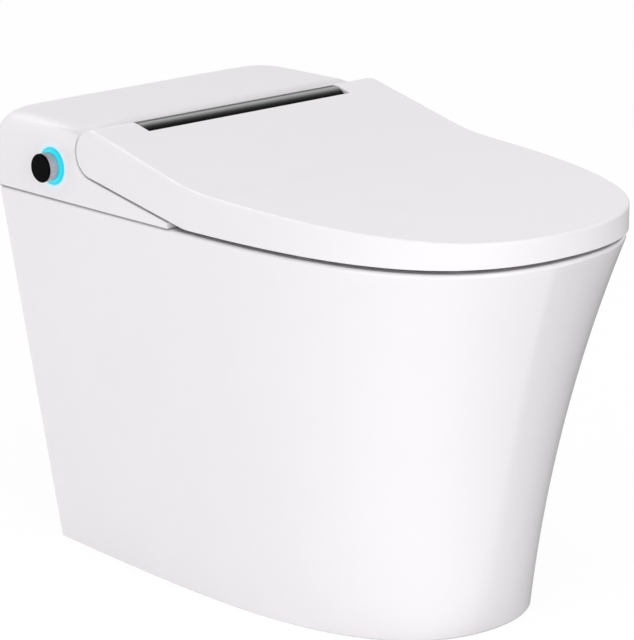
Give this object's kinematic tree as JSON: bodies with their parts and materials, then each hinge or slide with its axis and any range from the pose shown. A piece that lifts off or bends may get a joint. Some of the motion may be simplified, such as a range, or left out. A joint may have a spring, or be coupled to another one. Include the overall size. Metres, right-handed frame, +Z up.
{
  "type": "smart toilet",
  "caption": "One-piece floor-standing smart toilet with a tapered china skirt, powered lid and heated seat, rear equipment cover, side knob with a lit ring, washing wand and warm air dryer.",
  "frame": {"origin": "on the floor at the centre of the soil outlet", "axes": "+Y back to the wall, +Z up, so the front of the bowl points to -Y and the knob is on the -X side"},
  "size_m": [0.4151, 0.636, 0.482],
  "materials": {
    "china": "glossy white glaze",
    "white_plastic": "glossy white",
    "inner_plastic": "matt moulded",
    "dark_plastic": "matt moulded",
    "black_gloss": "polished black",
    "rubber": "matt",
    "steel": "plain",
    "brass": "turned",
    "knob_metal": "finely ribbed satin",
    "lit_ring": "lit translucent",
    "circuit_board": "solder mask",
    "copper_foil": "foil on film"
  },
  "bodies": {
    "toilet_base": {"ceramic_skirt": "china", "ceramic_deck": "china", "ceramic_bowl": "china", "ceramic_sump": "china", "trapway": "china", "outlet_seal": "rubber", "chassis": "inner_plastic", "chassis_screws": "steel", "equipment_shelf": "inner_plastic", "rear_cover": "white_plastic", "display_barrel": "black_gloss", "display_board": "circuit_board", "hinge_damper_left": "dark_plastic", "hinge_damper_right": "dark_plastic", "booster_tank": "inner_plastic", "booster_pump": "dark_plastic", "water_inlet": "brass", "cable_gland": "dark_plastic", "inlet_valve": "inner_plastic", "instant_heater": "inner_plastic", "power_supply": "dark_plastic", "control_board": "circuit_board", "board_standoffs": "brass", "fan_housing": "dark_plastic", "fan_motor": "steel", "dryer_duct": "inner_plastic", "deodorizer_cartridge": "dark_plastic", "nozzle_guide": "inner_plastic", "nozzle_motor": "steel", "led_ring": "lit_ring", "knob_encoder": "dark_plastic", "knob_bracket": "steel"},
    "lid": {"lid_shell": "white_plastic", "lid_bumpers": "rubber"},
    "seat": {"seat_top": "white_plastic", "seat_base": "white_plastic", "seat_heater": "copper_foil", "seat_bumpers": "rubber"},
    "knob_slider": {"knob_stem": "steel"},
    "knob": {"knob_barrel": "knob_metal", "knob_cap": "black_gloss"},
    "nozzle": {"nozzle_wand": "white_plastic", "nozzle_tip": "white_plastic"},
    "fan": {"fan_wheel": "inner_plastic"},
    "flap": {"dryer_flap": "white_plastic"}
  },
  "joints": [
    {"name": "lid_hinge", "type": "hinge", "parent": "toilet_base", "child": "lid", "pos_m": [0, 0.1405, 0.4565], "axis": [-1, 0, 0], "range_deg": [0, 104]},
    {"name": "seat_hinge", "type": "hinge", "parent": "toilet_base", "child": "seat", "pos_m": [0, 0.1405, 0.4565], "axis": [-1, 0, 0], "range_deg": [0, 95]},
    {"name": "knob_press", "type": "slide", "parent": "toilet_base", "child": "knob_slider", "axis": [1, 0, 0], "range_m": [0, 0.002], "stiffness_N_per_m": 1500, "springref_m": -0.001},
    {"name": "knob_turn", "type": "hinge", "parent": "knob_slider", "child": "knob", "pos_m": [-0.2, 0.205, 0.435], "axis": [-1, 0, 0], "continuous": true},
    {"name": "nozzle_slide", "type": "slide", "parent": "toilet_base", "child": "nozzle", "axis": [0, -0.9877, -0.1564], "range_m": [0, 0.1]},
    {"name": "fan_spin", "type": "hinge", "parent": "toilet_base", "child": "fan", "pos_m": [0.112, 0.218, 0.42], "axis": [0, 0, 1], "continuous": true},
    {"name": "flap_swing", "type": "hinge", "parent": "toilet_base", "child": "flap", "pos_m": [0.104, 0.1135, 0.4159], "axis": [-1, 0, 0], "range_deg": [0, 70]}
  ],
  "couplings": [
    {"joint": "seat_hinge", "follows": "lid_hinge", "ratio": 0.9134}
  ]
}
